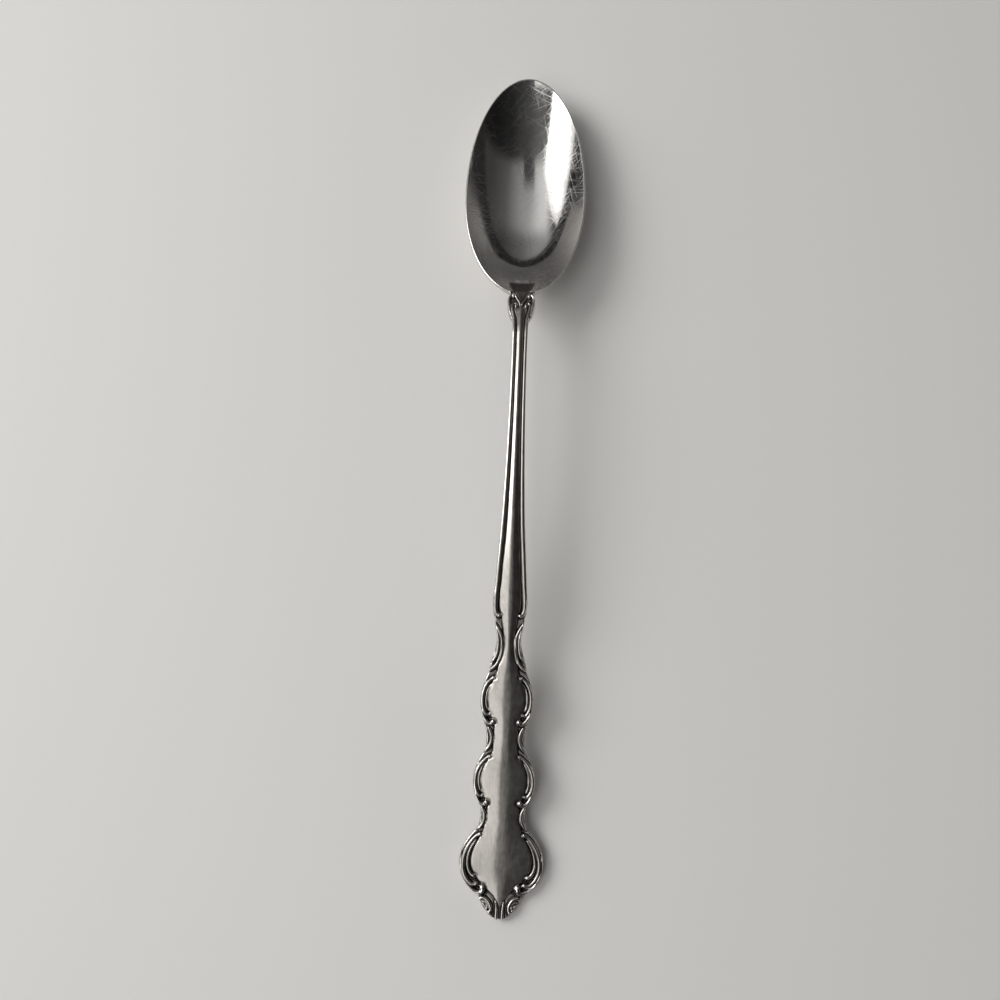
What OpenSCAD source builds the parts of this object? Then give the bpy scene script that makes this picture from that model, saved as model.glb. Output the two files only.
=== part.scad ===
// Iced tea spoon in forged stainless steel, with a die-struck border of C-scrolls on its handle.
// It lies on its back: X across, Y from the handle end to the bowl tip, Z up.
// The origin is on the table, under the middle of its length. Sizes are in millimetres.

/* [Bowl] */
// Length of the bowl
bowl_l = 56; // [50:1:60]
// Width of the bowl
bowl_w = 27.9; // [24:0.1:31]
// Distance from the bowl tip to the deepest and widest place
bowl_front_l = 31; // [27:0.5:33]
// Height of the rim above the table at the bowl tip
rim_h = 7.5; // [6:0.1:9]
// Thickness of the rim's edge
rim_t = 1; // [0.8:0.05:1.3]
// Width of the bright flat on top of the rim
rim_flat = 0.45; // [0.3:0.05:0.7]
// Thickness of the bowl at its bottom
bowl_t = 1.3; // [1:0.05:1.8]
// Length of the worn flat that the bowl rests on
bowl_rest_l = 9; // [6:0.5:12]

/* [Neck] */
// Length of the neck
neck_l = 9; // [8:0.5:11]
// Width of the neck across its scrolled ears
neck_ear_w = 6.2; // [5.4:0.1:7]
// Width of the neck where it runs into the bowl
neck_root_w = 6; // [5.4:0.1:6.6]
// Depth of the pointed drop sunk into the neck
drop_depth = 0.35; // [0.2:0.05:0.5]

/* [Shank] */
// Length of the shank
shank_l = 58; // [46:1:70]
// Height of the shank's back above the table at the crest of the arch
arch_h = 12.6; // [9:0.1:15]
// Width of the shank at its narrowest
shank_w = 3.4; // [3:0.1:4]
// Thickness of the shank at its edges
shank_t = 2; // [1.6:0.1:2.4]
// Height of the shank's middle ridge above its border
shank_ridge_h = 0.55; // [0.3:0.05:0.8]
// Height of the bead along each edge of the shank
edge_bead_h = 0.3; // [0.2:0.05:0.45]
// Width of that bead
edge_bead_w = 0.8; // [0.6:0.05:0.9]

/* [Handle] */
// Thickness of the handle at its edges
handle_t = 1.5; // [1.2:0.1:2]
// Height of the panel's middle ridge above the border
panel_ridge_h = 0.95; // [0.6:0.05:1.2]
// Height of the panel's edge above the border
panel_step = 0.32; // [0.2:0.02:0.45]
// Width of the groove beside the panel
groove_w = 0.35; // [0.25:0.05:0.5]
// Length of the shell at the handle end
shell_l = 4.7; // [4:0.1:5.4]
// Width of the shell
shell_w = 9.4; // [8.4:0.1:10]
// Length of the first lobe, beside the shell
lobe_1_l = 13.2; // [12:0.1:14.5]
// Width of the first lobe
lobe_1_w = 17.7; // [16.5:0.1:19]
// Length of the first cove
cove_1_l = 4.6; // [4:0.1:5.4]
// Width of the first cove
cove_1_w = 9.4; // [8.8:0.1:10]
// Length of the second lobe
lobe_2_l = 11.3; // [10:0.1:12.5]
// Width of the second lobe
lobe_2_w = 13; // [12:0.1:14]
// Length of the second cove
cove_2_l = 5.1; // [4.5:0.1:6]
// Width of the second cove
cove_2_w = 8.1; // [7.6:0.1:8.8]
// Length of the third lobe
lobe_3_l = 11.4; // [10:0.1:12.5]
// Width of the third lobe
lobe_3_w = 11.1; // [10.2:0.1:12]
// Length of the waist
waist_l = 10.7; // [9.5:0.1:12]
// Width of the waist
waist_w = 5.2; // [4.8:0.1:5.8]
// Length of the shoulder that carries the shank's curls
shoulder_l = 6; // [5:0.1:7]
// Width of the shoulder
shoulder_w = 7.4; // [6.8:0.1:8]

/* [Scrolls] */
// Width of the main scrolls
scroll_w = 0.95; // [0.75:0.05:1.1]
// Height of the main scrolls above the border
scroll_h = 0.5; // [0.35:0.05:0.65]
// Width of the fine scrolls
fine_w = 0.7; // [0.5:0.05:0.85]
// Height of the fine scrolls above the border
fine_h = 0.36; // [0.25:0.02:0.5]
// Radius of the beads that end the main scrolls
bead_r = 0.55; // [0.45:0.05:0.65]
// Radius of the two large volutes of the first lobe
volute_r = 0.85; // [0.7:0.05:1]

/* [Hidden] */

// How finely curves are drawn
bowl_sides = 48;
bowl_rings = 9;
bead_sides = 10;
bend_steps = 2;
row_steps = [11, 4, 9, 4, 9, 8];
shell_steps = 7;
shoulder_steps = 5;
shank_steps = 15;
neck_steps = 12;
sides = [-1, 1];

// Stations along the spoon, measured from the handle end
lobe_1_at = shell_l;
cove_1_at = lobe_1_at + lobe_1_l;
lobe_2_at = cove_1_at + cove_1_l;
cove_2_at = lobe_2_at + lobe_2_l;
lobe_3_at = cove_2_at + cove_2_l;
waist_at = lobe_3_at + lobe_3_l;
shoulder_at = waist_at + waist_l;
shank_at = shoulder_at + shoulder_l;
neck_at = shank_at + shank_l;
bowl_at = neck_at + neck_l;
length = bowl_at + bowl_l;
bowl_mid_at = length - bowl_front_l;

// Half widths of the outline at the end of the stem, across the leaves, and where the lobes and
// coves meet
stem_end = shell_w * 0.064;
leaf_half = shell_w * 0.51;
notch_shell = shell_w * 0.468;
notch_1 = cove_1_w * 0.55;
notch_2 = cove_1_w * 0.51;
notch_3 = cove_2_w * 0.53;
notch_4 = cove_2_w * 0.54;
notch_5 = waist_w * 0.77;
notch_6 = waist_w * 0.61;

// Each stretch of the border: start, length, half widths at its start, end and middle, where its
// middle lies and how full it is, then the panel's half widths at its start, end and middle
stretches = [
  [lobe_1_at, lobe_1_l, notch_shell, notch_1, lobe_1_w / 2, 0.87, 0.77,
    shell_w * 0.14, cove_1_w * 0.4, lobe_1_w * 0.347],
  [cove_1_at, cove_1_l, notch_1, notch_2, cove_1_w / 2, 1, 0.9,
    cove_1_w * 0.4, cove_1_w * 0.33, cove_1_w * 0.355],
  [lobe_2_at, lobe_2_l, notch_2, notch_3, lobe_2_w / 2, 1, 0.89,
    cove_1_w * 0.33, cove_2_w * 0.3, lobe_2_w * 0.369],
  [cove_2_at, cove_2_l, notch_3, notch_4, cove_2_w / 2, 1, 0.6,
    cove_2_w * 0.3, cove_2_w * 0.28, cove_2_w * 0.295],
  [lobe_3_at, lobe_3_l, notch_4, notch_5, lobe_3_w / 2, 1, 0.98,
    cove_2_w * 0.28, waist_w * 0.39, lobe_3_w * 0.353],
  [waist_at, waist_l, notch_5, notch_6, waist_w / 2, 1.22, 1.6,
    waist_w * 0.39, waist_w * 0.28, waist_w * 0.2],
];

// Half width of the outline along the shoulder, shank and neck
outline = [
  [shoulder_at, notch_6],
  [shoulder_at + shoulder_l * 0.25, shoulder_w * 0.475],
  [shoulder_at + shoulder_l * 0.65, shoulder_w * 0.5],
  [shank_at, shoulder_w * 0.475],
  [shank_at + shank_l * 0.14, shank_w * 0.88],
  [shank_at + shank_l * 0.24, shank_w * 0.765],
  [shank_at + shank_l * 0.4, shank_w * 0.64],
  [shank_at + shank_l * 0.57, shank_w * 0.555],
  [shank_at + shank_l * 0.75, shank_w * 0.505],
  [shank_at + shank_l * 0.9, shank_w * 0.495],
  [neck_at, shank_w * 0.515],
  [neck_at + neck_l * 0.14, shank_w * 0.55],
  [neck_at + neck_l * 0.31, neck_ear_w * 0.42],
  [neck_at + neck_l * 0.49, neck_ear_w * 0.477],
  [neck_at + neck_l * 0.68, neck_ear_w * 0.495],
  [neck_at + neck_l * 0.88, neck_ear_w * 0.44],
  [bowl_at, neck_root_w * 0.5],
];

// Half width of the raised panel along the shoulder and shank, and of the sunk drop in the neck
panel_line = [
  [shoulder_at, waist_w * 0.28],
  [shoulder_at + shoulder_l * 0.5, shoulder_w * 0.284],
  [shank_at, shoulder_w * 0.29],
  [shank_at + shank_l * 0.14, shank_w * 0.485],
  [shank_at + shank_l * 0.3, shank_w * 0.36],
  [shank_at + shank_l * 0.6, shank_w * 0.25],
  [neck_at, shank_w * 0.205],
  [neck_at + neck_l * 0.49, shank_w * 0.22],
  [neck_at + neck_l * 0.64, shank_w * 0.265],
  [neck_at + neck_l * 0.83, neck_root_w * 0.317],
  [bowl_at, neck_root_w * 0.4],
];

// Height of the middle above the border, positive on the panel and negative in the drop
middle_line = [
  [0, panel_ridge_h * 0.3],
  [lobe_1_at, panel_ridge_h * 0.5],
  [lobe_1_at + lobe_1_l / 2, panel_ridge_h],
  [cove_1_at + cove_1_l / 2, panel_ridge_h * 0.92],
  [lobe_2_at + lobe_2_l / 2, panel_ridge_h],
  [cove_2_at + cove_2_l / 2, panel_ridge_h * 0.85],
  [lobe_3_at + lobe_3_l / 2, panel_ridge_h * 0.95],
  [waist_at + waist_l / 2, panel_ridge_h * 0.75],
  [shank_at, panel_ridge_h * 0.8],
  [shank_at + shank_l / 2, shank_ridge_h],
  [neck_at, shank_ridge_h * 0.8],
  [neck_at + neck_l * 0.42, shank_ridge_h * 0.55],
  [neck_at + neck_l * 0.59, 0],
  [neck_at + neck_l * 0.73, -drop_depth * 0.8],
  [bowl_at, -drop_depth],
];

// Height of the panel's edge above the border, negative at the edge of the drop
step_line = [
  [0, panel_step * 0.4],
  [lobe_1_at + lobe_1_l / 2, panel_step],
  [waist_at, panel_step],
  [shank_at, panel_step * 0.5],
  [neck_at, panel_step * 0.35],
  [neck_at + neck_l * 0.42, panel_step * 0.25],
  [neck_at + neck_l * 0.59, 0],
  [neck_at + neck_l * 0.73, -drop_depth * 0.75],
  [bowl_at, -drop_depth * 0.95],
];

// Thickness of the edge from back to border, and height of the bead that runs along it
edge_line = [
  [0, handle_t * 0.9],
  [lobe_1_at, handle_t],
  [waist_at, handle_t],
  [shank_at + shank_l * 0.3, shank_t],
  [bowl_at, shank_t],
];
bead_line = [
  [0, 0],
  [shank_at - shoulder_l * 0.3, 0],
  [shank_at, edge_bead_h],
  [neck_at + neck_l * 0.4, edge_bead_h],
  [neck_at + neck_l * 0.66, edge_bead_h * 1.6],
  [neck_at + neck_l * 0.85, edge_bead_h],
  [bowl_at, 0],
];

// The back of the handle, from its flat near the handle end over the arch and down to the bowl
back_line = [
  [0, 0],
  [length * 0.037, 0],
  [length * 0.08, arch_h * 0.09],
  [length * 0.16, arch_h * 0.25],
  [length * 0.26, arch_h * 0.475],
  [length * 0.37, arch_h * 0.71],
  [length * 0.47, arch_h * 0.89],
  [length * 0.555, arch_h * 0.99],
  [length * 0.6, arch_h],
  [neck_at - neck_l * 0.2, arch_h * 0.965],
  [neck_at + neck_l * 0.4, arch_h * 0.87],
  [bowl_at, arch_h * 0.765],
];

// Fall of the rim from the neck to the bowl tip, as shares of the bowl's length and of the fall
rim_fall_shares = [[0, 1], [0.14, 0.56], [0.29, 0.37], [0.55, 0.17], [0.79, 0.07], [1, 0]];
// How steeply the inside and the outside of the bowl curve up
inside_curve = 2.3;
outside_curve = 2.2;
// How far the thickening at the back of the bowl spreads beside the neck
heel_w = neck_root_w;

// Scroll lines of a lobe, as shares of its half width and of its length
main_shares = [[0.5, 0.905], [0.655, 0.845], [0.82, 0.7], [0.91, 0.555], [0.915, 0.42],
  [0.86, 0.28], [0.7, 0.19]];
inner_shares = [[0.6, 0.8], [0.72, 0.68], [0.785, 0.53], [0.78, 0.4], [0.7, 0.29]];
hook_shares = [[0.95, 0.32], [0.9, 0.2], [0.8, 0.1], [0.66, 0.05], [0.54, 0.06]];
big_hook_shares = [[0.965, 0.58], [0.95, 0.36], [0.85, 0.175], [0.66, 0.07], [0.52, 0.05],
  [0.43, 0.08]];
top_bead_share = [0.5, 0.903];
main_bead_share = [0.63, 0.19];
hook_bead_share = [0.52, 0.06];
volute_share = [0.41, 0.092];
// Scroll lines of a cove, the waist, the shoulder and the shell, as shares of the same kind
cove_shares = [[1, 0.05], [0.83, 0.21], [0.765, 0.44], [0.785, 0.68], [0.9, 0.93]];
waist_shares = [[1.4, 0.03], [1, 0.12], [0.67, 0.27], [0.56, 0.42], [0.555, 0.56], [0.68, 0.71],
  [1, 0.86]];
waist_outer_shares = [[1.22, 0.2], [0.93, 0.346], [0.85, 0.514], [0.865, 0.64], [1.03, 0.83]];
curl_shares = [[0.832, 1], [0.85, 0.75], [0.845, 0.5], [0.815, 0.32], [0.735, 0.2]];
curl_bead_share = [0.61, 0.145];
leaf_shares = [[0.17, 0.1], [0.19, 0.32], [0.27, 0.53], [0.46, 0.73], [0.85, 0.86]];
leaf_inner_shares = [[0.372, 0.25], [0.47, 0.46], [0.75, 0.655]];
leaf_pearl_shares = [[0.88, 0.86, 0.75], [0.77, 0.66, 0.55], [0.37, 0.22, 0.45], [0.17, 0.08, 0.6]];
ear_shares = [[0.7, 0.3], [0.81, 0.46], [0.86, 0.62], [0.83, 0.74], [0.72, 0.79], [0.62, 0.75]];
ear_pearl_share = [0.6, 0.745];
edge_curl_shares = [[0.53, 0.22], [0.545, 0.31], [0.455, 0.37]];

// Blend from a to b, and one that eases in and out
function mix(a, b, t) = a + (b - a) * t;
function ease(t) = let (c = max(0, min(1, t))) c * c * (3 - 2 * c);
function eased_steps(n) = [for (i = [0 : n]) (1 - cos(180 * i / n)) / 2];

// Smooth value at station s along a line of [station, value] points, level at its ends and turns
function rise(line, i) = (line[i + 1][1] - line[i][1]) / (line[i + 1][0] - line[i][0]);
function slope(line, i) = i <= 0 || i >= len(line) - 1 ? 0
  : let (a = rise(line, i - 1), b = rise(line, i)) a * b <= 0 ? 0 : 2 * a * b / (a + b);
function hermite(a, b, ma, mb, l, t) =
  a * (1 + 2 * t) * pow(1 - t, 2) + ma * l * t * pow(1 - t, 2)
  + b * (3 - 2 * t) * pow(t, 2) - mb * l * (1 - t) * pow(t, 2);
function along(line, s, i = 0) =
  s <= line[0][0] ? line[0][1]
  : i >= len(line) - 1 ? line[len(line) - 1][1]
  : s > line[i + 1][0] ? along(line, s, i + 1)
  : let (l = line[i + 1][0] - line[i][0])
    hermite(line[i][1], line[i + 1][1], slope(line, i), slope(line, i + 1), l, (s - line[i][0]) / l);

// Smooth curve through points, with bend_steps pieces between each two
function bend(a, b, c, d, t) = (2 * b + (c - a) * t + (2 * a - 5 * b + 4 * c - d) * t * t
  + (3 * b - a - 3 * c + d) * t * t * t) / 2;
function curve(points) = let (last = len(points) - 1)
  [for (i = [0 : last - 1], k = [0 : bend_steps - 1])
    bend(points[max(0, i - 1)], points[i], points[i + 1], points[min(last, i + 2)], k / bend_steps),
    points[last]];

// Half width of a lobe or cove: a straight run between its notches and a swelling between them
function swell(from, to, middle, centre, full, u) =
  mix(from, to, u) + (middle - mix(from, to, pow(0.5, 1 / centre)))
  * pow(sin(180 * pow(u, centre)), full);
function stretch_at(s, i = 0) =
  i >= len(stretches) - 1 || s < stretches[i + 1][0] ? stretches[i] : stretch_at(s, i + 1);
function share_of(s, row) = max(0, min(1, (s - row[0]) / row[1]));
function half_width(s) =
  s < shell_l ? mix(stem_end, leaf_half, sqrt(s / shell_l))
    - (leaf_half - notch_shell) * ease((s / shell_l - 0.8) * 5)
  : s >= shoulder_at ? along(outline, s)
  : let (r = stretch_at(s)) swell(r[2], r[3], r[4], r[5], r[6], share_of(s, r));
function panel_half(s) =
  s < shell_l ? mix(stem_end / 4, shell_w * 0.14, ease((s / shell_l - 0.6) / 0.4))
  : s >= shoulder_at ? along(panel_line, s)
  : let (r = stretch_at(s)) swell(r[7], r[8], r[9], r[5], 1.2, share_of(s, r));

function back_z(s) = along(back_line, s);
function border_z(s) = back_z(s) + along(edge_line, s);

// Top of one half at a station, from the middle out: panel, groove, and the bead where there is one
function half_top(s, beaded) = let (
    w = half_width(s), p = panel_half(s), z = border_z(s), room = w - p,
    b = min(edge_bead_w, room * 0.66), g = min(groove_w, room * 0.28),
    m = along(middle_line, s), e = along(step_line, s), h = along(bead_line, s)
  ) concat(
    [[0, z + m], [p * 0.25, z + mix(m, e, 0.06)], [p * 0.65, z + mix(m, e, 0.45)], [p, z + e], [p + g, z]],
    beaded ? [[w - b, z], [w - b * 0.55, z + h]] : [],
    [[w, z - along(edge_line, s) * 0.2]]
  );
function half_back(s) = let (w = half_width(s), z = back_z(s), t = along(edge_line, s))
  [[0, z], [w * 0.8, z], [w, z + t * 0.4]];
function mirrored(points) = [for (i = [len(points) - 1 : -1 : 1]) [-points[i][0], points[i][1]]];
function turned(points) = [for (i = [len(points) - 1 : -1 : 0]) points[i]];
function both(half) = concat(mirrored(half), half);
function section(s, beaded) = [for (p = concat(both(half_top(s, beaded)), turned(both(half_back(s)))))
  [p[0], s - length / 2, p[1]]];

// Solid through a row of rings that all have the same number of points. The first top_n points of
// a ring are its top and the rest its back, so each end is closed by a strip between the two.
module loft(rings, top_n) {
  n = len(rings[0]);
  back_n = n - top_n;
  last = (len(rings) - 1) * n;
  function back_under(i) = round(i * (back_n - 1) / (top_n - 1));
  function strip(i) = let (a = n - 1 - back_under(i), b = n - 1 - back_under(i + 1))
    a == b ? [[i, i + 1, a]] : [[i, i + 1, a], [i + 1, b, a]];
  walls = [for (r = [0 : len(rings) - 2], k = [0 : n - 1])
    let (a = r * n + k, b = r * n + (k + 1) % n) each [[a, a + n, b + n], [a, b + n, b]]];
  first_end = [for (i = [0 : top_n - 2], f = strip(i)) f];
  last_end = [for (f = first_end) [f[2] + last, f[1] + last, f[0] + last]];
  polyhedron(points = [for (r = rings) each r], faces = concat(walls, first_end, last_end));
}

// A run of the spoon through a list of stations, with or without the bead along its edges
module run(stations, beaded) {
  loft([for (s = stations) section(s, beaded)], len(both(half_top(stations[0], beaded))));
}

// A raised scroll along points of [x, station], w wide and h high, on the border's level. Its size
// grows or tapers from the share first at its start to the share final at its end.
module scroll(points, w, h, side, first = 1, final = 1) {
  path = curve(points);
  last = len(path) - 1;
  profile = [[-0.5, -1], [-0.28, 0.72], [0, 1], [0.28, 0.72], [0.5, -1]];
  function way(i) = path[min(last, i + 1)] - path[max(0, i - 1)];
  function ring(p, d, k) = [for (q = profile) [
    side * (p[0] + d[1] * q[0] * w * k),
    p[1] - d[0] * q[0] * w * k - length / 2,
    border_z(p[1]) + q[1] * h * k
  ]];
  rings = [for (i = [0 : last]) ring(path[i], way(i) / norm(way(i)), mix(first, final, i / last))];
  loft(side > 0 ? rings : turned(rings), len(profile) - 2);
}

// A bead that ends a scroll: a ball whose top stands h above the border, with its foot drawn down
module bead(at, r, h, side) {
  translate([side * at[0], at[1] - length / 2, border_z(at[1])])
    hull()
      for (z = [h - r, 0])
        translate([0, 0, z])
          sphere(r, $fn = bead_sides);
}

// Points given as shares of a stretch's half width and length
function placed(shares, w, at, l) = [for (p = shares) [p[0] * w, at + p[1] * l]];
function spot(share, w, at, l) = [share[0] * w, at + share[1] * l];

// One side of a lobe's border: main scroll, fine inner scroll, and the hook that curls under them
module lobe_scrolls(at, l, w, hook, hook_bead, hook_r, side) {
  half = w / 2;
  scroll(placed(main_shares, half, at, l), scroll_w, scroll_h, side);
  scroll(placed(inner_shares, half, at, l), fine_w, fine_h, side);
  scroll(placed(hook, half, at, l), scroll_w, scroll_h, side, 0.4, 1.2);
  bead(spot(top_bead_share, half, at, l), bead_r, scroll_h * 1.3, side);
  bead(spot(main_bead_share, half, at, l), bead_r * 0.9, scroll_h * 1.2, side);
  bead(spot(hook_bead, half, at, l), hook_r, scroll_h * 1.35, side);
}

module handle_scrolls(side) {
  lobe_scrolls(lobe_1_at, lobe_1_l, lobe_1_w, big_hook_shares, volute_share, volute_r, side);
  lobe_scrolls(lobe_2_at, lobe_2_l, lobe_2_w, hook_shares, hook_bead_share, bead_r * 1.15, side);
  lobe_scrolls(lobe_3_at, lobe_3_l, lobe_3_w, hook_shares, hook_bead_share, bead_r * 1.05, side);
  scroll(placed(cove_shares, cove_1_w / 2, cove_1_at, cove_1_l), scroll_w, scroll_h, side);
  scroll(placed(cove_shares, cove_2_w / 2, cove_2_at, cove_2_l), scroll_w, scroll_h, side);
  scroll(placed(waist_shares, waist_w / 2, waist_at, waist_l), fine_w, scroll_h, side);
  scroll(placed(waist_outer_shares, waist_w / 2, waist_at, waist_l), fine_w, fine_h, side);
  scroll(placed(curl_shares, shoulder_w / 2, shoulder_at, shoulder_l), edge_bead_w, scroll_h, side);
  bead(spot(curl_bead_share, shoulder_w / 2, shoulder_at, shoulder_l), bead_r * 0.9, scroll_h * 1.2, side);
}

// The shell at the handle end: two leaves that curl away from the stem, with pearls at their ends
module shell_leaf(side) {
  half = shell_w / 2;
  scroll(placed(leaf_shares, half, 0, shell_l), scroll_w * 0.9, scroll_h, side);
  scroll(placed(leaf_inner_shares, half, 0, shell_l), fine_w, fine_h, side);
  for (share = leaf_pearl_shares)
    bead(spot(share, half, 0, shell_l), bead_r * share[2], scroll_h, side);
}

// Stations of the handle's body, closer together beside each notch
function stations_of(row, n) = [for (u = eased_steps(n)) row[0] + u * row[1]];
function without_first(list) = [for (i = [1 : len(list) - 1]) list[i]];
handle_stations = concat([lobe_1_at],
  [for (i = [0 : len(stretches) - 1]) each without_first(stations_of(stretches[i], row_steps[i]))],
  without_first(stations_of([shoulder_at, shoulder_l], shoulder_steps)));

module handle() {
  color("silver")
    union() {
      run(handle_stations, false);
      for (side = sides)
        handle_scrolls(side);
    }
}

module tip_shell() {
  color("silver")
    union() {
      run([for (i = [0 : shell_steps]) shell_l * pow(i / shell_steps, 1.5)], false);
      for (side = sides)
        shell_leaf(side);
    }
}

module shank() {
  color("silver")
    run([for (i = [0 : shank_steps]) mix(shank_at, neck_at, i / shank_steps)], true);
}

// A short piece of a curl: a roll of radius r from one point to the next
module roll(from, to, r, h, side) {
  hull()
    for (p = [from, to])
      translate([side * p[0], p[1] - length / 2, border_z(p[1]) + h - r])
        sphere(r, $fn = bead_sides);
}

// One side of the neck: the shank's edge bead curls inwards, and above it stands a scrolled ear
module neck_ear(side) {
  half = neck_ear_w / 2;
  curl = placed(edge_curl_shares, half, neck_at, neck_l);
  scroll(placed(ear_shares, half, neck_at, neck_l), fine_w, fine_h, side, 0.7, 1);
  bead(spot(ear_pearl_share, half, neck_at, neck_l), fine_w * 0.55, fine_h * 1.2, side);
  for (i = [0 : len(curl) - 2])
    roll(curl[i], curl[i + 1], fine_w * 0.45, edge_bead_h * 1.2, side);
  bead(curl[len(curl) - 1], fine_w * 0.6, edge_bead_h * 1.4, side);
}

module neck() {
  color("silver")
    union() {
      run([for (i = [0 : neck_steps]) mix(neck_at, bowl_at, i / neck_steps)], true);
      for (side = sides)
        neck_ear(side);
    }
}

// Outline of the bowl seen from above: two half ellipses, cut straight where the neck joins
bowl_back_l = (bowl_l - bowl_front_l) / sqrt(1 - pow(neck_root_w / bowl_w, 2));
root_angle = asin(neck_root_w / bowl_w);
half_steps = bowl_sides / 2 - 2;
bowl_half_angles = concat(
  [for (i = [0 : half_steps]) (180 - root_angle) * i / half_steps],
  [180 - root_angle / 2]);
bowl_angles = concat(bowl_half_angles, [180],
  [for (i = [len(bowl_half_angles) - 1 : -1 : 1]) 360 - bowl_half_angles[i]]);
function rim_point(a) = let (l = cos(a) > 0 ? bowl_front_l : bowl_back_l)
  [bowl_w / 2 * sin(a), max(bowl_at - bowl_mid_at, l * cos(a))];

// Height of the rim, which dips between the ears by the depth of the neck's drop
function drop_at(a) = cos(a) < 0 ? drop_depth * (1 - ease(abs(rim_point(a)[0]) / neck_root_w * 2)) : 0;
function rim_z(a) = let (s = bowl_mid_at + rim_point(a)[1])
  mix(rim_h, border_z(bowl_at), along(rim_fall_shares, (s - bowl_at) / bowl_l)) - drop_at(a);
// 1 where the neck joins, falling to 0 along the rim on either side of it
function near_neck(a) = cos(a) < 0 ? 1 - ease(abs(rim_point(a)[0]) / heel_w - 0.5) : 0;
// Thickness of the bowl's edge, which grows to the neck's own thickness there
function rim_thick(a) = mix(rim_t, rim_z(a) - back_z(bowl_at), near_neck(a));

rest_share = bowl_rest_l / bowl_l;

// Point of the bowl at an angle, a share of the way from its middle to its outline less the inset
function bowl_point(a, inset, share, z) = let (p = rim_point(a), r = norm(p), k = share * (r - inset) / r)
  [p[0] * k, bowl_mid_at + p[1] * k - length / 2, z];
function inside_ring(share) = [for (a = bowl_angles)
  bowl_point(a, rim_flat, share, mix(bowl_t, rim_z(a), pow(share, inside_curve)))];
function outside_ring(share) = let (
    up = pow(max(0, (share - rest_share) / (1 - rest_share)), outside_curve * (1 - rest_share))
  ) [for (a = bowl_angles) bowl_point(a, 0, share, (rim_z(a) - rim_thick(a)) * up)];
function rim_ring(inset, drop) = [for (a = bowl_angles)
  bowl_point(a, inset, 1, rim_z(a) - drop * rim_thick(a))];
// The rounded upper corner of the rim, which ends where the neck's top runs into the bowl
function rim_corner(drop) = [for (a = bowl_angles)
  bowl_point(a, 0, 1, rim_z(a) - drop * (1 - near_neck(a)) * rim_thick(a))];

// The bowl: a dished shell drawn as rings from the inside bottom, over the rim, to the rest
module bowl() {
  rings = concat(
    [for (i = [1 : bowl_rings]) inside_ring(sin(90 * i / bowl_rings))],
    [rim_ring(rim_flat * 0.3, 0), rim_corner(0.3), rim_ring(0, 0.7)],
    [for (i = [bowl_rings - 1 : -1 : 0]) outside_ring(mix(rest_share, 1, i / (bowl_rings - 1)))]
  );
  n = len(bowl_angles);
  count = len(rings);
  points = concat([[0, bowl_mid_at - length / 2, bowl_t]], [for (r = rings) each r]);
  walls = [for (r = [0 : count - 2], k = [0 : n - 1])
    let (a = 1 + r * n + k, b = 1 + r * n + (k + 1) % n) each [[a, a + n, b + n], [a, b + n, b]]];
  color("silver")
    polyhedron(points = points, faces = concat(
      [for (k = [0 : n - 1]) [0, 1 + k, 1 + (k + 1) % n]],
      walls,
      [[for (k = [0 : n - 1]) 1 + (count - 1) * n + (n - 1 - k)]]
    ));
}

bowl();
neck();
shank();
handle();
tip_shell();
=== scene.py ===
import math

import bpy
import numpy as np
from mathutils import Matrix, Vector


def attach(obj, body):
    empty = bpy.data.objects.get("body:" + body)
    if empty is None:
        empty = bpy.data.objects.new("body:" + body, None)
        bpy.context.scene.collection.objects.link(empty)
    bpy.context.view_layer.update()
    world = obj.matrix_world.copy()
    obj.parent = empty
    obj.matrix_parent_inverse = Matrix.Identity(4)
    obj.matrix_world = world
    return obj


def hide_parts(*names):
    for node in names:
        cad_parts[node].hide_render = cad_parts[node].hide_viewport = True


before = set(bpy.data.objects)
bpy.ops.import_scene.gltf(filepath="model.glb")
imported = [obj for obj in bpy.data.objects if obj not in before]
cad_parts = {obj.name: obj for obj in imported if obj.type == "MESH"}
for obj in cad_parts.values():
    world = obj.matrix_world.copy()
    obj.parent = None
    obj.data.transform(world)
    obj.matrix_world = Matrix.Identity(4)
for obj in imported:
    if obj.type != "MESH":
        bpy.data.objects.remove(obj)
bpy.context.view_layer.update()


# Shank: the slim arched stem, rolled and die-struck from one bar of stainless steel with the rest of
# the spoon. It has a soft middle ridge and a bead along each edge. Its lines also shape the
# shoulder and the neck, which run on from it without a joint.
MM = 0.001
LENGTH = 190.0
SHANK_AT = 67.0
NECK_AT = 125.0
GROOVE_W = 0.35
CORNER_R = 0.3

# Points of (station, value). First the height of the back over the table, from the flat under the
# handle's end over the arch to the bowl
back_line = [(0, 0), (7, 0), (15.2, 1.13), (30.4, 3.15), (49.4, 5.99), (70.3, 8.95), (89.3, 11.21),
             (105.5, 12.47), (114, 12.6), (123.2, 12.16), (128.6, 10.96), (134, 9.64)]
# Thickness of the edge, and height above it of the middle and of the raised panel's edge
edge_line = [(0, 1.35), (4.7, 1.5), (50.3, 1.5), (84.4, 2), (134, 2)]
middle_line = [(0, -0.12), (1.7, -0.12), (2.7, 0.22), (4.7, 0.47), (11.3, 0.95), (20.2, 0.87),
               (28.1, 0.95), (36.3, 0.81), (44.6, 0.9), (55.6, 0.71), (67, 0.76), (96, 0.55),
               (125, 0.44), (128.8, 0.34), (130.9, 0), (132.2, -0.3), (134, -0.36)]
step_line = [(0, -0.12), (1.7, -0.12), (2.7, 0.12), (11.3, 0.32), (50.3, 0.32), (67, 0.16),
             (125, 0.11), (128.8, 0.08), (130.9, 0), (132.2, -0.28), (134, -0.34)]
# Depth to which the ground between the scrolls is sunk
sunk_line = [(0, 0.1), (11.3, 0.16), (61, 0.16), (75, 0.1), (125, 0.08), (134, 0)]
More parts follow.
